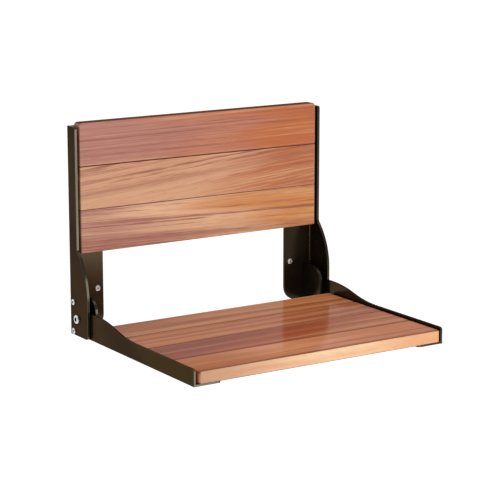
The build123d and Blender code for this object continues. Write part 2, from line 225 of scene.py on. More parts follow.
# %% World
WORLD_FRONT = (-0.5, 0.0)  # Y of a direction where a mirrored world is dim, and where it is white
WORLD_LEVEL = 0.5

world = bpy.data.worlds.new("studio")
world.use_nodes = True
bpy.context.scene.world = world
world_graph = Graph(world.node_tree)
facing = world_graph.split(world_graph.node("TexCoord").outputs["Generated"])
backdrop = world.node_tree.nodes["Background"]
backdrop.inputs["Color"].default_value = rgb(1.0, 1.0, 1.0)
world_level = studio_level(world_graph, facing[1], *WORLD_FRONT, WORLD_LEVEL)
world_graph.feed(backdrop.inputs["Strength"], world_level)
print("world", world.name, "lights at", WORLD_LEVEL)

# %% [markdown]
# A large softbox stands close in front, level with the seat. Because it is close, the seat's front edge
# gets more light than the back, and because it is level, upright faces are brighter than the seat's top.
# The metal's cut edges that face the front mirror it and shine, and the side faces don't. A weak panel
# overhead lifts the shade on the top. Area lamps are used because a small lamp would cast hard shadows.

# %% Lamps
SOFTBOXES = {
    "front_softbox": {
        "place": (0.15, -1.35, 0.08), "aim": (0.0, -0.1, 0.05), "size": (1.0, 1.06), "watts": 7.7},
    "top_panel": {
        "place": (-0.3, -0.5, 1.5), "aim": (0.0, -0.2, 0.0), "size": (1.2, 1.2), "watts": 2.5},
}


def softbox(name, place, aim, size, watts):
    """A rectangular lamp that points at its aim and is itself unseen."""
    data = bpy.data.lights.new(name, "AREA")
    data.shape = "RECTANGLE"
    data.size, data.size_y = size
    data.energy = watts
    lamp = bpy.data.objects.new(name, data)
    lamp.location = place
    lamp.rotation_euler = (Vector(aim) - Vector(place)).to_track_quat("-Z", "Y").to_euler()
    lamp.visible_camera = False
    bpy.context.scene.collection.objects.link(lamp)
    return lamp


lamps = [softbox(lamp_name, **lamp_values) for lamp_name, lamp_values in SOFTBOXES.items()]
print("lamps", {lamp.name: round(lamp.data.energy, 2) for lamp in lamps})

# %% [markdown]
# Some effects serve more than one material. Blender keeps such an effect in a node group, a graph with
# named inputs and outputs that is built once and placed wherever it is needed, with its own values each
# time. The helper below makes an empty group. Each input's default also says what kind of socket it is.

# %% Empty node groups
SOCKET_KINDS = {float: "NodeSocketFloat", tuple: "NodeSocketColor", str: "NodeSocketVector"}


def new_group(name, inputs, outputs):
    """An empty node group, its inputs and its outputs; the default "place" stands for a vector."""
    tree = bpy.data.node_groups.new(name, "ShaderNodeTree")
    for label, default in inputs.items():
        socket = tree.interface.new_socket(label, in_out="INPUT", socket_type=SOCKET_KINDS[type(default)])
        if default != "place":
            socket.default_value = default
    for label, default in outputs.items():
        tree.interface.new_socket(label, in_out="OUTPUT", socket_type=SOCKET_KINDS[type(default)])
    given = tree.nodes.new("NodeGroupInput").outputs
    result = tree.nodes.new("NodeGroupOutput").inputs
    return Graph(tree), given, result


print("socket kinds", sorted(SOCKET_KINDS.values()))

# %% [markdown]
# Edges are where a finish wears first and where light catches. They could be painted by hand, but the Bevel
# node finds them by itself. It gives the normal that the surface would have if its edges were rounded over a
# radius, and where that differs from the true normal, an edge is near. Noise then breaks the wear into
# patches. The bronze and the screws both use this, so it is a node group with one output, a mask, which on
# the bronze carries wear and a painted highlight together.

# %% Edge wear group
BEVEL_SAMPLES = 6
EDGE_TURN = (0.995, 0.80)  # agreement of the normals where an edge begins, and where it is full
PATCH_DETAIL = 3.0
PATCH_RANGE = (0.35, 0.65)


def edge_wear_and_highlight_group():
    graph, given, result = new_group(
        "edge_wear_and_highlight", {"Radius": 0.001, "Breakup Scale": 120.0, "Breakup": 0.5}, {"Mask": 1.0})
    rounded = graph.node("Bevel", samples=BEVEL_SAMPLES)
    graph.feed(rounded.inputs["Radius"], given["Radius"])
    flat_normal = graph.node("NewGeometry").outputs["True Normal"]
    agreement = graph.vector("DOT_PRODUCT", rounded.outputs["Normal"], flat_normal)
    edge = graph.fade(agreement, *EDGE_TURN)
    place = graph.node("TexCoord").outputs["Object"]
    patches = graph.fade(graph.noise(place, given["Breakup Scale"], PATCH_DETAIL), *PATCH_RANGE)
    kept = graph.math("SUBTRACT", 1.0, graph.math("MULTIPLY", patches, given["Breakup"]))
    graph.feed(result["Mask"], graph.math("MULTIPLY", edge, kept))
    return graph.tree


edge_wear_and_highlight = edge_wear_and_highlight_group()
print("group", edge_wear_and_highlight.name)

# %% [markdown]
# A board is cut from a log, so its grain is a solid pattern: rings round a pith that lies outside the
# board. Measuring every point by its distance from the pith turns the rings into lines along the faces and
# arcs on the ends. A slope tilts the lines across the board and a slow wander bends them. A photograph of
# wood would repeat itself from board to board, so the pattern is noise that is drawn out along the board.
# Each layer of it has its own number of repeats per metre along, across and through the board: wide bands
# and clouds, thin lines, the dark late wood of the rings, short flecks, fibres and pores. The fineness
# sets how close the lines lie and how strong the flecks are.

# %% Layers of the grain
LAYERS = {
    "bend": {"per_metre": (1.4, 7.0, 7.0), "detail": 1.0},
    "cloud": {"per_metre": (2.6, 16.0, 16.0), "detail": 2.0},
    "band": {"per_metre": (0.7, 34.0, 4.0), "detail": 2.0},
    "line": {"per_metre": (1.3, 230.0, 12.0), "detail": 3.0, "roughness": 0.6},
    "late": {"per_metre": (0.9, 420.0, 12.0), "detail": 2.0},
    "fleck": {"per_metre": (22.0, 480.0, 60.0), "detail": 2.0},
    "fibre": {"per_metre": (9.0, 1000.0, 900.0), "detail": 2.0},
    "pore": {"per_metre": (42.0, 1500.0, 1500.0), "detail": 1.0},
}
LATE_RANGE = (0.06, 0.22)
PORE_RANGE = (0.12, 0.22)
NOISE_MIDDLE = 0.5


def grain_layers(graph, given):
    """Every layer by name, and the flow, which is the place across the board as the grain bends it."""
    seed = graph.join(given["Seed"], given["Seed"], given["Seed"])

    def layer(place, name):
        """Noise between -0.5 and 0.5, drawn out along the board."""
        moved = graph.vector("ADD", place, seed)
        settings = dict(LAYERS[name])
        stretched = graph.vector("MULTIPLY", moved, settings.pop("per_metre"))
        return graph.math("SUBTRACT", graph.noise(stretched, 1.0, **settings), NOISE_MIDDLE)

    along, across, through = graph.split(given["Place"])
    straight = graph.math("SUBTRACT", across, graph.math("MULTIPLY", along, given["Slope"]))
    flow = graph.math("MULTIPLY_ADD", layer(given["Place"], "bend"), given["Wander"], straight)
    pith = graph.join(0.0, given["Pith Across"], given["Pith Depth"])
    ring = graph.vector("DISTANCE", graph.join(0.0, flow, through), pith)
    grain = graph.join(along, ring, through)
    fine_grain = graph.join(along, graph.math("MULTIPLY", ring, given["Fineness"]), through)
    return {
        "flow": flow,
        "cloud": layer(given["Place"], "cloud"),
        "band": layer(grain, "band"),
        "line": layer(fine_grain, "line"),
        "late": graph.fade(layer(fine_grain, "late"), *LATE_RANGE),
        "fleck": graph.math("MULTIPLY", layer(grain, "fleck"), given["Fineness"]),
        "fibre": layer(grain, "fibre"),
        "pore": graph.fade(layer(grain, "pore"), *PORE_RANGE),
    }


print("grain layers", list(LAYERS))

# %% [markdown]
# The colour of the heartwood changes along a real board. Three colours, for the left end, the middle and the
# right end, are blended along it, and the bands and clouds push the blend about, so that it has no straight
# border. On the back boards the left and middle colours also hold a painted reflection that makes them paler
# and pinker. Lines, bands, flecks and fibres add up to one tone, which draws the colour towards a light or a
# dark one. The late wood of the rings and one broad streak, made of threads, only darken it.

# %% Heartwood
DRIFT_SHARES = {"cloud": 1.4, "band": 2.0}
TONE_SHARES = {"line": 2.9, "band": 1.0, "fleck": 1.1, "fibre": 0.6}
COLOUR_RUN = 0.8
TONE_START = 0.02
TONE_FULL = 0.60
TONE_LIMIT = 0.85
LATE_SHARE = 0.4
THREAD_RANGE = (-0.12, 0.12)


def summed(graph, layers, shares):
    """Layers added up, each times its share."""
    total = 0.0
    for name, share in shares.items():
        total = graph.math("MULTIPLY_ADD", layers[name], share, total)
    return total


def heartwood(graph, given, layers, along_share, tone):
    """Colour of the wood, where the share along the board runs from -1 at the left end to 1 at the right."""
    drifted = graph.math("ADD", along_share, summed(graph, layers, DRIFT_SHARES))
    wood = graph.mix(graph.fade(drifted, -COLOUR_RUN, 0.0), given["Left"], given["Centre"])
    wood = graph.mix(graph.fade(drifted, 0.0, COLOUR_RUN), wood, given["Right"])
    wood = graph.mix(graph.fade(tone, TONE_START, TONE_FULL, 0.0, TONE_LIMIT), wood, given["Light"])
    wood = graph.mix(graph.fade(tone, -TONE_START, -TONE_FULL, 0.0, TONE_LIMIT), wood, given["Dark"])
    late_share = graph.math("MULTIPLY", given["Contrast"], LATE_SHARE)
    wood = graph.mix(graph.math("MULTIPLY", layers["late"], late_share, clamp=True), wood, given["Dark"])
    from_streak = graph.math("ABSOLUTE", graph.math("SUBTRACT", layers["flow"], given["Streak Across"]))
    streak = graph.fade(from_streak, given["Streak Width"], 0.0, 0.0, given["Streak"])
    threads = graph.fade(layers["line"], *THREAD_RANGE)
    return graph.mix(graph.math("MULTIPLY", streak, threads), wood, given["Dark"])


print("tone shares", TONE_SHARES)

# %% [markdown]
# The long edges of a board are eased with a plane, and there they catch light or hold shade. So a thin line
# along each long edge of the broad faces gets painted shade where the edge holds shade and a painted
# highlight where it catches light, and the right end gets a painted highlight round its corner. From a given
# place across a board onwards its colour turns pale, which on the front board makes up its front face, and
# the broad face darkens over a short run towards it. The pale face goes from darker at the left end to
# lighter at the right, which is painted light, and the grain shows in it.

# %% Painted edge shading and the pale front
EDGE_SHADING_FULL = 0.0003
EDGE_SHADING_SHARE = 0.8
END_HIGHLIGHT = (0.0022, 0.0008)  # from the end: where its painted highlight begins, and where it is full
END_HIGHLIGHT_SHARE = 0.55
PALE_FRONT_BLEND = 0.0006
BORDER_RUN = 0.0150
BORDER_SHARE = 0.85
# Painted light: the pale face is painted darker towards the left end and lighter towards the right.
PALE_FRONT_SHADE_LEFT = {"start": 0.1, "end": -1.05, "high": 0.54}
PALE_FRONT_LIGHT_RIGHT = {"start": 0.25, "end": 0.8, "high": 0.8}
PALE_GRAIN = {"start": 0.10, "end": -0.40, "high": 0.8}


def painted_edge_shading(graph, given, along, across, on_face, wood):
    """Wood with painted shading along each long edge of its broad faces and a painted highlight at its right
    end.
    """
    for name, side in (("Low Edge Painted Shading", -1.0), ("High Edge Painted Shading", 1.0)):
        from_edge = graph.math("MULTIPLY_ADD", across, -side, given["Half Width"])
        edge_shading_mask = graph.fade(from_edge, given["Edge Shading Run"], EDGE_SHADING_FULL, 0.0, EDGE_SHADING_SHARE)
        wood = graph.mix(graph.math("MULTIPLY", edge_shading_mask, on_face), wood, given[name])
    # Painted highlight round the corner of the right end.
    from_end = graph.math("SUBTRACT", given["Half Length"], along)
    return graph.mix(graph.fade(from_end, *END_HIGHLIGHT, 0.0, END_HIGHLIGHT_SHARE), wood, given["Light"])


def dark_run_to_pale_front(graph, given, across, on_face, wood):
    """The broad face darkens over a short run up to the pale front."""
    inside = graph.math("ADD", given["Pale Front Start"], PALE_FRONT_BLEND)
    border = graph.fade(across, graph.math("ADD", inside, BORDER_RUN), inside, 0.0, BORDER_SHARE)
    return graph.mix(graph.math("MULTIPLY", border, on_face), wood, given["Dark"])


def pale_front(graph, given, across, along_share, tone, wood):
    """Wood that turns pale from a given place across onwards, painted darker to the left and lighter to the
    right.
    """
    inside = graph.math("ADD", given["Pale Front Start"], PALE_FRONT_BLEND)
    pale = graph.mix(graph.fade(along_share, **PALE_FRONT_SHADE_LEFT), given["Pale Front"], given["Dark"])
    pale = graph.mix(graph.fade(along_share, **PALE_FRONT_LIGHT_RIGHT), pale, given["Light"])
    pale = graph.mix(graph.fade(tone, **PALE_GRAIN), pale, given["Right"])
    return graph.mix(graph.fade(across, inside, given["Pale Front Start"]), wood, pale)


print("line at the right end", END_HIGHLIGHT[0], "m, border of the sapwood", BORDER_RUN, "m")

# %% [markdown]
# All seven boards share one group that puts these steps together, each board with its own values. Besides
# the colour it gives a height, because lines and fibres stand up a little and pores are holes, and a
# sheen, because oil soaks into pores and leaves them dull. The place that goes in is measured in metres
# from the middle of the board: along it, across it and through it.

# %% Plank figure group
PLANK_INPUTS = {
    "Place": "place",
    "Half Length": 0.24,
    "Half Width": 0.04,
    "Seed": 0.0,
    "Slope": 0.0,
    "Wander": 0.012,
    "Fineness": 1.0,
    "Contrast": 1.0,
    "Left": rgb(0.50, 0.19, 0.09),
    "Centre": rgb(0.50, 0.19, 0.09),
    "Right": rgb(0.50, 0.19, 0.09),
    "Dark": rgb(0.32, 0.10, 0.06),
    "Light": rgb(0.72, 0.36, 0.18),
    "Pale Front": rgb(0.85, 0.57, 0.345),
    "Pale Front Start": -1.0,
    "Streak": 0.0,
    "Streak Across": 0.0,
    "Streak Width": 0.012,
    # The edge colours are painted shade and painted highlights on the eased edges.
    "Edge Shading Run": 0.002,
    "Low Edge Painted Shading": rgb(0.30, 0.10, 0.06),
    "High Edge Painted Shading": rgb(0.30, 0.10, 0.06),
    "Pith Across": 0.14,
    "Pith Depth": -0.07,
}
FACE_START = (0.005, 0.009)  # from the middle of the thickness: where a broad face begins, and is full
PORE_SHARE = 0.28
RELIEF_SHARES = {"fibre": 0.5, "line": 0.5, "pore": -0.6}
SHEEN_SHARES = {"line": 0.5, "pore": -1.0}


def plank_figure_group():
    graph, given, result = new_group(
        "plank_figure", PLANK_INPUTS, {"Color": rgb(1, 1, 1), "Height": 1.0, "Sheen": 1.0})
    along, across, through = graph.split(given["Place"])
    along_share = graph.math("DIVIDE", along, given["Half Length"])
    on_face = graph.fade(graph.math("ABSOLUTE", through), *FACE_START)
    layers = grain_layers(graph, given)
    tone = graph.math("MULTIPLY", summed(graph, layers, TONE_SHARES), given["Contrast"])
    wood = heartwood(graph, given, layers, along_share, tone)
    wood = painted_edge_shading(graph, given, along, across, on_face, wood)
    wood = dark_run_to_pale_front(graph, given, across, on_face, wood)
    wood = pale_front(graph, given, across, along_share, tone, wood)
    wood = graph.mix(graph.math("MULTIPLY", layers["pore"], PORE_SHARE), wood, given["Dark"])
    graph.feed(result["Color"], wood)
    graph.feed(result["Height"], summed(graph, layers, RELIEF_SHARES))
    graph.feed(result["Sheen"], summed(graph, layers, SHEEN_SHARES))
    return graph.tree


plank_figure = plank_figure_group()
print("group", plank_figure.name, "inputs", len(PLANK_INPUTS), "nodes", len(plank_figure.nodes))

# %% [markdown]
# No two boards of a real seat match: one is pinker, one more golden, one nearly plum. So each board has its
# own row of values for the group. On the back boards the pink at the left and in the middle is partly a
# painted reflection. The back boards share their dark and light tones, and so do the seat boards, whose
# lines are wider apart, as in boards that are cut flatter to the rings. Only the front board has a pale
# front face.

# %% Board colours
# Edge colours are painted: painted shade on edges that hold shade, painted highlights on edges that catch
# light.
BACK_TONES = {
    "Dark": rgb(0.36, 0.125, 0.085), "Light": rgb(0.76, 0.45, 0.25), "Edge Shading Run": 0.0014,
    "Low Edge Painted Shading": rgb(0.50, 0.22, 0.13), "High Edge Painted Shading": rgb(0.50, 0.22, 0.13)}
SEAT_TONES = {
    "Dark": rgb(0.29, 0.08, 0.04), "Light": rgb(0.76, 0.36, 0.17), "Fineness": 0.4, "Edge Shading Run": 0.0040,
    "Low Edge Painted Shading": rgb(0.20, 0.06, 0.03), "High Edge Painted Shading": rgb(0.80, 0.42, 0.22)}
BOARDS = {
    # On the back boards the Left and Centre colours are partly a painted reflection, paler and pinker.
    "back_board_top": {
        "Left": rgb(0.54, 0.235, 0.18), "Centre": rgb(0.61, 0.245, 0.155), "Right": rgb(0.61, 0.188, 0.072),
        "Seed": 3.1, "Slope": 0.012, "Contrast": 0.65, **BACK_TONES, "Low Edge Painted Shading": rgb(0.34, 0.12, 0.07)},
    "back_board_middle": {
        "Left": rgb(0.765, 0.40, 0.235), "Centre": rgb(0.81, 0.44, 0.265), "Right": rgb(0.595, 0.208, 0.094),
        "Seed": 7.7, "Slope": 0.08, "Streak": 0.6, "Streak Across": 0.005, **BACK_TONES,
        "Low Edge Painted Shading": rgb(0.88, 0.52, 0.33)},
    "back_board_bottom": {
        "Left": rgb(0.60, 0.286, 0.207), "Centre": rgb(0.92, 0.55, 0.34), "Right": rgb(0.73, 0.300, 0.108),
        "Seed": 12.4, "Slope": -0.028, "Streak": 0.8, "Streak Across": -0.025, **BACK_TONES,
        "High Edge Painted Shading": rgb(0.95, 0.60, 0.40)},
    "seat_board_rear": {
        "Left": rgb(0.52, 0.167, 0.066), "Centre": rgb(0.69, 0.27, 0.105), "Right": rgb(0.69, 0.253, 0.092),
        "Seed": 18.2, "Slope": -0.02, **SEAT_TONES},
    "seat_board_rear_middle": {
        "Left": rgb(0.61, 0.20, 0.07), "Centre": rgb(0.64, 0.225, 0.095), "Right": rgb(0.51, 0.165, 0.075),
        "Seed": 23.9, "Slope": 0.02, **SEAT_TONES},
    "seat_board_front_middle": {
        "Left": rgb(0.385, 0.10, 0.061), "Centre": rgb(0.49, 0.13, 0.055), "Right": rgb(0.555, 0.168, 0.065),
        "Seed": 29.3, "Slope": 0.01, "Contrast": 0.7, **SEAT_TONES},
    # The front board's front face is painted pale.
    "seat_board_front": {
        "Left": rgb(0.59, 0.20, 0.076), "Centre": rgb(0.86, 0.36, 0.18), "Right": rgb(0.67, 0.225, 0.09),
        "Seed": 36.5, "Contrast": 0.6, "Pale Front Start": -0.0402, **SEAT_TONES},
}
print("boards", len(BOARDS))

# %% [markdown]
# Every finish starts as a new material with the Principled shader, which has sockets for colour,
# roughness, metal and a clear coat. Relief as fine as grain or paint needs no geometry: a Bump node turns
# a height into a tilted normal. A finished material then takes the place of the plain one that a piece
# came with.


# %% Material helpers
def new_material(name):
    """A material with a fresh Principled surface; returns it, its graph and its shader."""
    material = bpy.data.materials.new(name)
    material.use_nodes = True
    graph = Graph(material.node_tree)
    return material, graph, material.node_tree.nodes["Principled BSDF"]


def bump(graph, shader, height, distance):
    """Let a height drive the shader's normal, with the relief's depth in metres."""
    made = graph.node("Bump")
    made.inputs["Distance"].default_value = distance
    graph.feed(made.inputs["Height"], height)
    graph.feed(shader.inputs["Normal"], made.outputs["Normal"])


def dress(node, material):
    """Give a node of the model one material in place of the plain one it came with."""
    slots = nodes[node].data.materials
    slots.clear()
    slots.append(material)


print("helpers", [helper.__name__ for helper in (new_material, bump, dress)])

# %% [markdown]
# The boards are oiled. Oil leaves a matt body under a thin, smooth film, and the shader's coat is that film,
# with a weight that follows the grain. The back boards stand and the seat boards lie, so the place is turned
# for the back, and both kinds share one graph. Faces that look up on the back boards and down on the seat
# boards get painted shade: their colour is darkened and their coat is taken away.

# %% Board materials
WOOD_ROUGHNESS = 0.6
WOOD_COAT = 0.25
WOOD_COAT_ROUGHNESS = 0.14
SHEEN_SHARE = 0.12
GRAIN_DEPTH = 0.00012
# The lean is the Z of the normal where the painted shade begins, and where it is full.
PAINTED_SHADE_FACES = {
    "back": {"lean": (0.55, 0.85), "tint": rgb(0.35, 0.28, 0.30)},
    "seat": {"lean": (-0.10, -0.50), "tint": rgb(0.32, 0.24, 0.20)},
}


def board_material(node, look):
    """Oiled wood for one board, with the grain laid out from the middle of its box."""
    material, graph, shader = new_material(f"wood_{node}")
    low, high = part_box(node)
    coordinates = graph.node("TexCoord").outputs
    from_middle = graph.vector("SUBTRACT", coordinates["Object"], (low + high) / 2)
    half = (high - low) / 2
    upright = node.startswith("back")
    x, y, z = graph.split(from_middle)
    place = graph.join(x, z, y) if upright else from_middle
    size = {"Half Length": half.x, "Half Width": half.z if upright else half.y}
    figure = graph.group(plank_figure, {"Place": place, **size, **look})
    # Painted shade, with no coat, on the faces that the lean picks out.
    darker = PAINTED_SHADE_FACES["back" if upright else "seat"]
    rim = graph.fade(graph.split(coordinates["Normal"])[2], *darker["lean"])
    graph.feed(shader.inputs["Base Color"], graph.mix(rim, figure["Color"], darker["tint"], "MULTIPLY"))
    coat = graph.math("MULTIPLY_ADD", figure["Sheen"], SHEEN_SHARE, WOOD_COAT, clamp=True)
    graph.feed(shader.inputs["Coat Weight"], graph.math("MULTIPLY", coat, graph.math("SUBTRACT", 1.0, rim)))
    shader.inputs["Coat Roughness"].default_value = WOOD_COAT_ROUGHNESS
    shader.inputs["Roughness"].default_value = WOOD_ROUGHNESS
    shader.inputs["Specular IOR Level"].default_value = 0.0
    bump(graph, shader, figure["Height"], GRAIN_DEPTH)
    return material


for board_name, board_look in BOARDS.items():
    dress(board_name, board_material(board_name, board_look))
print("wood on", sorted(BOARDS))

# %% [markdown]
# Coated steel, turned steel and moulded nylon are never quite even. A mottle of two sizes, one like slow
# clouds and one like the fine peel of sprayed paint, serves all three: the clouds shift the colour or the
# sheen, and the peel is a relief that breaks up reflections. It is a group, because only its two scales
# change from one finish to the next.

# %% Mottle group
CLOUD_DETAIL = 4.0
CLOUD_RANGE = (0.3, 0.7)


def mottle_group():
    graph, given, result = new_group(
        "surface_mottle", {"Cloud Scale": 18.0, "Peel Scale": 900.0}, {"Clouds": 1.0, "Peel": 1.0})
    place = graph.node("TexCoord").outputs["Object"]
    clouds = graph.noise(place, given["Cloud Scale"], CLOUD_DETAIL)
    graph.feed(result["Clouds"], graph.fade(clouds, *CLOUD_RANGE))
    graph.feed(result["Peel"], graph.noise(place, given["Peel Scale"]))
    return graph.tree


mottle = mottle_group()
print("group", mottle.name)

# %% [markdown]
# The brackets, arms, hinge ears and stop tubes are steel with an oil-rubbed bronze finish: a dark warm
# brown that mirrors softly. It is partly metal and partly oil, so the metal share is a little under one.
# The Specular Tint of a metal is its colour at a slant, which stays dark here because the oil dulls it.
# Along the edges the colour turns a paler olive grey, partly wear and partly a painted highlight, and the
# cut faces that look to the front get the same colour as a painted highlight of the softbox. The wall
# flanges look to the front too, but the painted highlight leaves out faces close to the wall, so they keep
# their brown.

# %% Bronze finish
BRONZE_DARK = rgb(0.043, 0.031, 0.017)
BRONZE_WARM = rgb(0.057, 0.042, 0.024)
BRONZE_WEAR_AND_HIGHLIGHT = rgb(0.100, 0.089, 0.068)
BRONZE_SLANT = rgb(0.34, 0.29, 0.13)
BRONZE_METAL = 0.84
BRONZE_ROUGHNESS = (0.16, 0.23)
BRONZE_PEEL = 0.00002
BRONZE_MOTTLE = {"Cloud Scale": 14.0, "Peel Scale": 1100.0}
BRONZE_EDGE_WEAR_AND_HIGHLIGHT = {"Radius": 0.0010, "Breakup Scale": 90.0, "Breakup": 0.4}
FRONT_HIGHLIGHT_LEAN = (-0.3, -0.75)  # Y of the normal where the painted highlight begins, and where it is full
OFF_WALL = (-0.012, -0.018)  # Y of the place where the painted highlight begins, and where it is full


def bronze_material():
    material, graph, shader = new_material("oiled_bronze")
    spread = graph.group(mottle, BRONZE_MOTTLE)
    paler_mask = graph.group(edge_wear_and_highlight, BRONZE_EDGE_WEAR_AND_HIGHLIGHT)["Mask"]
    coordinates = graph.node("TexCoord").outputs
    # Painted highlight on faces that look to the front, except close to the wall; the edge mask adds wear
    # and painted highlight.
    forward = graph.fade(graph.split(coordinates["Normal"])[1], *FRONT_HIGHLIGHT_LEAN)
    off_wall = graph.fade(graph.split(coordinates["Object"])[1], *OFF_WALL)
    paler_mask = graph.math("MAXIMUM", paler_mask, graph.math("MULTIPLY", forward, off_wall))
    brown = graph.mix(spread["Clouds"], BRONZE_DARK, BRONZE_WARM)
    graph.feed(shader.inputs["Base Color"], graph.mix(paler_mask, brown, BRONZE_WEAR_AND_HIGHLIGHT))
    graph.feed(shader.inputs["Roughness"], graph.fade(spread["Clouds"], 0.0, 1.0, *BRONZE_ROUGHNESS))
    shader.inputs["Metallic"].default_value = BRONZE_METAL
    shader.inputs["Specular Tint"].default_value = BRONZE_SLANT
    bump(graph, shader, spread["Peel"], BRONZE_PEEL)
    return material


bronze = bronze_material()
print("material", bronze.name, "metal share", BRONZE_METAL)

# %% [markdown]
# Screw heads are turned on a lathe, which leaves fine rings round their axis, and the driving socket in the
# middle is a recess that gets painted shade. Both follow from one number, the distance from the screw's
# axis, so a group takes that distance and gives the relief of the rings and a mask for the painted shade of
# the socket. Rings this fine would need a very dense mesh, and a sine of the distance does the same.

# %% Turned head group
RING_PITCH = 0.00045
SOCKET_RIM = 1.08
SOCKET_CORE = 0.92


def turned_head_group():
    graph, given, result = new_group(
        "turned_head", {"From Axis": 0.0, "Socket Radius": 0.002}, {"Rings": 1.0, "Socket": 1.0})
    turns = graph.math("MULTIPLY", given["From Axis"], 2 * pi / RING_PITCH)
    graph.feed(result["Rings"], graph.math("SINE", turns))
    rim = graph.math("MULTIPLY", given["Socket Radius"], SOCKET_RIM)
    core = graph.math("MULTIPLY", given["Socket Radius"], SOCKET_CORE)
    graph.feed(result["Socket"], graph.fade(given["From Axis"], rim, core))
    return graph.tree


turned_head = turned_head_group()
print("group", turned_head.name)

# %% [markdown]
# All the screws are stainless steel, a plain bright metal that is polished on its edges. The wood screws sit
# behind and below the boards, so they get no more than that. A head that shows from the front also has rings
# and a socket darkened by painted shade, and its material is told where the axis runs. A piece with two
# screws takes the nearer axis. One function makes every kind, so that they stay one family.

# %% Stainless steel
STEEL = rgb(0.66, 0.65, 0.63)
STEEL_BRIGHT = rgb(0.84, 0.83, 0.81)
# Painted shade for the sockets of the pivot bolts and hinge screws.
STEEL_SOCKET_SHADE = rgb(0.035, 0.033, 0.03)
STEEL_POLISH = (0.24, 0.36)
STEEL_RELIEF = 0.00001
STEEL_MOTTLE = {"Cloud Scale": 240.0, "Peel Scale": 2600.0}
STEEL_WEAR = {"Radius": 0.0006, "Breakup": 0.2}
RING_SHARE = 0.3
SQUARE_TO_X = (0, 1, 1)


def nearest_axis(graph, axes, plane):
    """Distance to the nearest of some axes; the plane is square to them, as a mask of X, Y and Z."""
    flat = graph.vector("MULTIPLY", graph.node("TexCoord").outputs["Object"], plane)
    nearest = graph.vector("DISTANCE", flat, axes[0])
    for axis in axes[1:]:
        nearest = graph.math("MINIMUM", nearest, graph.vector("DISTANCE", flat, axis))
    return nearest


def stainless_material(
        name, axes=(), plane=SQUARE_TO_X, socket_r=0.0, socket_shade=STEEL_SOCKET_SHADE, polish=STEEL_POLISH):
    """Steel for screws with these axis points, and with sockets of this radius painted in this shade."""
    material, graph, shader = new_material(name)
    spread = graph.group(mottle, STEEL_MOTTLE)
    paler_mask = graph.group(edge_wear_and_highlight, STEEL_WEAR)["Mask"]
    colour = graph.mix(paler_mask, STEEL, STEEL_BRIGHT)
    relief = spread["Peel"]
    if axes:
        from_axis = nearest_axis(graph, axes, plane)
        turned = graph.group(turned_head, {"From Axis": from_axis, "Socket Radius": socket_r})
        # Painted shade in the socket.
        colour = graph.mix(turned["Socket"], colour, socket_shade)
        relief = graph.math("MULTIPLY_ADD", turned["Rings"], RING_SHARE, relief)
    graph.feed(shader.inputs["Base Color"], colour)
    graph.feed(shader.inputs["Roughness"], graph.fade(spread["Clouds"], 0.0, 1.0, *polish))
    shader.inputs["Metallic"].default_value = 1.0
    bump(graph, shader, relief, STEEL_RELIEF)
    return material


plain_steel = stainless_material("stainless_plain")
print("material", plain_steel.name, "roughness", STEEL_POLISH)

# %% [markdown]
# The bush, the washer and the spacer at each pivot are black nylon, which is slightly waxy and never
# glossy. Little of them shows, so the mottle alone gives their colour, sheen and skin.

# %% Nylon
NYLON_DARK = rgb(0.02, 0.02, 0.021)
NYLON_WORN = rgb(0.04, 0.04, 0.042)
NYLON_ROUGHNESS = (0.5, 0.62)
NYLON_PEEL = 0.00002
NYLON_MOTTLE = {"Cloud Scale": 120.0, "Peel Scale": 1800.0}


def nylon_material():
    material, graph, shader = new_material("black_nylon")
    spread = graph.group(mottle, NYLON_MOTTLE)
    graph.feed(shader.inputs["Base Color"], graph.mix(spread["Clouds"], NYLON_DARK, NYLON_WORN))
    graph.feed(shader.inputs["Roughness"], graph.fade(spread["Clouds"], 0.0, 1.0, *NYLON_ROUGHNESS))
    bump(graph, shader, spread["Peel"], NYLON_PEEL)
    return material


nylon = nylon_material()
print("material", nylon.name, "roughness", NYLON_ROUGHNESS)

# %% [markdown]
# The model's record says what each piece is made of, so the finishes go on by that. Only the pivot bolts
# and the hinge screws get steel of their own, because their sockets show. The axes of both sides lie on
# the same lines across the seat, so one material serves left and right, and the boxes of the left pieces
# give its axes.

# %% Dress the metal and nylon pieces
PIVOT_SOCKET_R = 0.0038
HINGE_SOCKET_R = 0.0022
SIDES = ("left", "right")


def axes_along_x(node):
    """Axis points of one or two equal screws in a node, whose heads are the widest round of its box."""
    low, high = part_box(node)
    radius = (high.y - low.y) / 2
    heights = {round(low.z + radius, 5), round(high.z - radius, 5)}
    return [(0.0, low.y + radius, height) for height in sorted(heights)]


finishes = {"bronze_paint": bronze, "stainless": plain_steel, "nylon": nylon}
pivot_steel = stainless_material(
    "stainless_pivot", axes_along_x("left_pivot_bolt"), socket_r=PIVOT_SOCKET_R)
hinge_steel = stainless_material(
    "stainless_hinge", axes_along_x("left_hinge_screws"), socket_r=HINGE_SOCKET_R)
for subpart in frame["record"]["subparts"]:
    if subpart["material_slot"] in finishes:
        dress(subpart["node"], finishes[subpart["material_slot"]])
for side_name in SIDES:
    dress(f"{side_name}_pivot_bolt", pivot_steel)
    dress(f"{side_name}_hinge_screws", hinge_steel)
print("finishes", {slot: finish.name for slot, finish in finishes.items()})

# %% [markdown]
# One screw holds each bracket's foot to the wall. Its head is a low dome with a hexagon socket. A
# primitive with a boolean cut would leave ragged faces, so it is built as rings of points, from the
# shank's end out to the rim and over the dome to the socket's floor. A hexagon ring has as many points as
# a round one, so the two join cleanly.

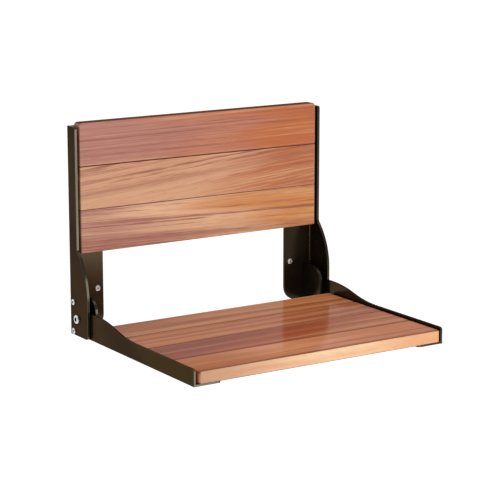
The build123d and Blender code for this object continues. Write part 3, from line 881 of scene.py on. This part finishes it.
# %% Outline of a wall screw
RING_POINTS = 48
HEX_SIDES = 6
DOME_STEPS = 6
DOME_TURN = pi / 3
SCREW_SHANK_R = 0.0030
SCREW_HEAD_R = 0.0054
SCREW_HEAD_H = 0.0026
SCREW_RIM_H = 0.0006
SCREW_CROWN_R = 0.0024
SCREW_SOCKET_R = 0.0017
SCREW_SOCKET_DEPTH = 0.0010
SHANK_CHAMFER = 0.0006


def ring(radius, height, sides=0):
    """Points round the screw's axis; with a number of sides they follow a polygon of that inner radius."""
    points = []
    for step in range(RING_POINTS):
        angle = 2 * pi * step / RING_POINTS
        reach = radius
        if sides:
            corner = pi / sides
            reach = radius / cos((angle + corner) % (2 * corner) - corner)
        points.append(Vector((reach * cos(angle), reach * sin(angle), height)))
    return points


def screw_rings(shank_length):
    """Rings from the shank's end, below Z = 0, up over the head to the floor of its socket."""
    shank_end = -shank_length
    rings = [ring(SCREW_SHANK_R - SHANK_CHAMFER, shank_end), ring(SCREW_SHANK_R, shank_end + SHANK_CHAMFER)]
    rings += [ring(SCREW_SHANK_R, 0.0), ring(SCREW_HEAD_R, 0.0), ring(SCREW_HEAD_R, SCREW_RIM_H)]
    for step in range(1, DOME_STEPS + 1):
        turn = DOME_TURN * step / DOME_STEPS
        rise = sin(turn) / sin(DOME_TURN)
        inward = (1 - cos(turn)) / (1 - cos(DOME_TURN))
        radius = SCREW_HEAD_R + (SCREW_CROWN_R - SCREW_HEAD_R) * inward
        rings.append(ring(radius, SCREW_RIM_H + (SCREW_HEAD_H - SCREW_RIM_H) * rise))
    for height in (SCREW_HEAD_H, SCREW_HEAD_H - SCREW_SOCKET_DEPTH):
        rings.append(ring(SCREW_SOCKET_R, height, HEX_SIDES))
    return rings


print("wall screw head", 2 * SCREW_HEAD_R, "m wide and", SCREW_HEAD_H, "m high")

# %% [markdown]
# Faces between neighbouring rings make the skin, and it is smooth except at edges that turn sharply, as a
# pressed head is. The screws stand where the record puts their holes, with the heads on the wall flanges.
# They are duller than the hinge's screws, and their sockets get a paler grey painted shade.

# %% Wall screws
SHARP_ANGLE = radians(35)
SHANK_GAP = 0.0006
MM_PER_M = 1000
# Grey painted shade for the wall screws' sockets.
STEEL_GREY_SOCKET_SHADE = rgb(0.30, 0.28, 0.25)
STEEL_DULL = (0.42, 0.52)
SQUARE_TO_Y = (1, 0, 1)


def skin(rings):
    """A closed mesh over rings of points, smooth except at its sharp edges."""
    mesh = bmesh.new()
    loops = [[mesh.verts.new(point) for point in points] for points in rings]
    for lower, upper in zip(loops, loops[1:]):
        for step in range(RING_POINTS):
            following = (step + 1) % RING_POINTS
            mesh.faces.new((lower[step], lower[following], upper[following], upper[step]))
    mesh.faces.new(list(reversed(loops[0])))
    mesh.faces.new(loops[-1])
    for edge in mesh.edges:
        edge.smooth = edge.calc_face_angle(0.0) < SHARP_ANGLE
    for face in mesh.faces:
        face.smooth = True
    return mesh


def wall_screw(name, place, steel):
    """Screw whose head stands on the flange at a place and points away from the wall."""
    data = bpy.data.meshes.new(name)
    mesh = skin(screw_rings(-place.y - SHANK_GAP))
    mesh.to_mesh(data)
    mesh.free()
    data.transform(Matrix.Translation(place) @ Matrix.Rotation(pi / 2, 4, "X"))
    data.materials.append(steel)
    screw = bpy.data.objects.new(name, data)
    bpy.context.scene.collection.objects.link(screw)
    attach(screw, "wall_frame")
    return screw


wall_mount = next(mount for mount in frame["record"]["mounts"] if mount["name"] == "wall_screws")
half_spacing = wall_mount["dims"]["spacing_x_mm"] / MM_PER_M / 2
screw_axes = [(side * half_spacing, 0.0, 0.0) for side in (-1, 1)]
# The hinge ear stands on the wall flange, so its rear edge lies in the flange's front face.
flange_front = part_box("right_hinge_ear")[1].y
wall_steel = stainless_material(
    "stainless_wall", screw_axes, SQUARE_TO_Y, SCREW_SOCKET_R, STEEL_GREY_SOCKET_SHADE, STEEL_DULL)
for side_name, axis in zip(SIDES, screw_axes):
    made_screw = wall_screw(f"{side_name}_wall_screw", Vector((axis[0], flange_front, 0.0)), wall_steel)
    print(made_screw.name, "faces", len(made_screw.data.polygons))
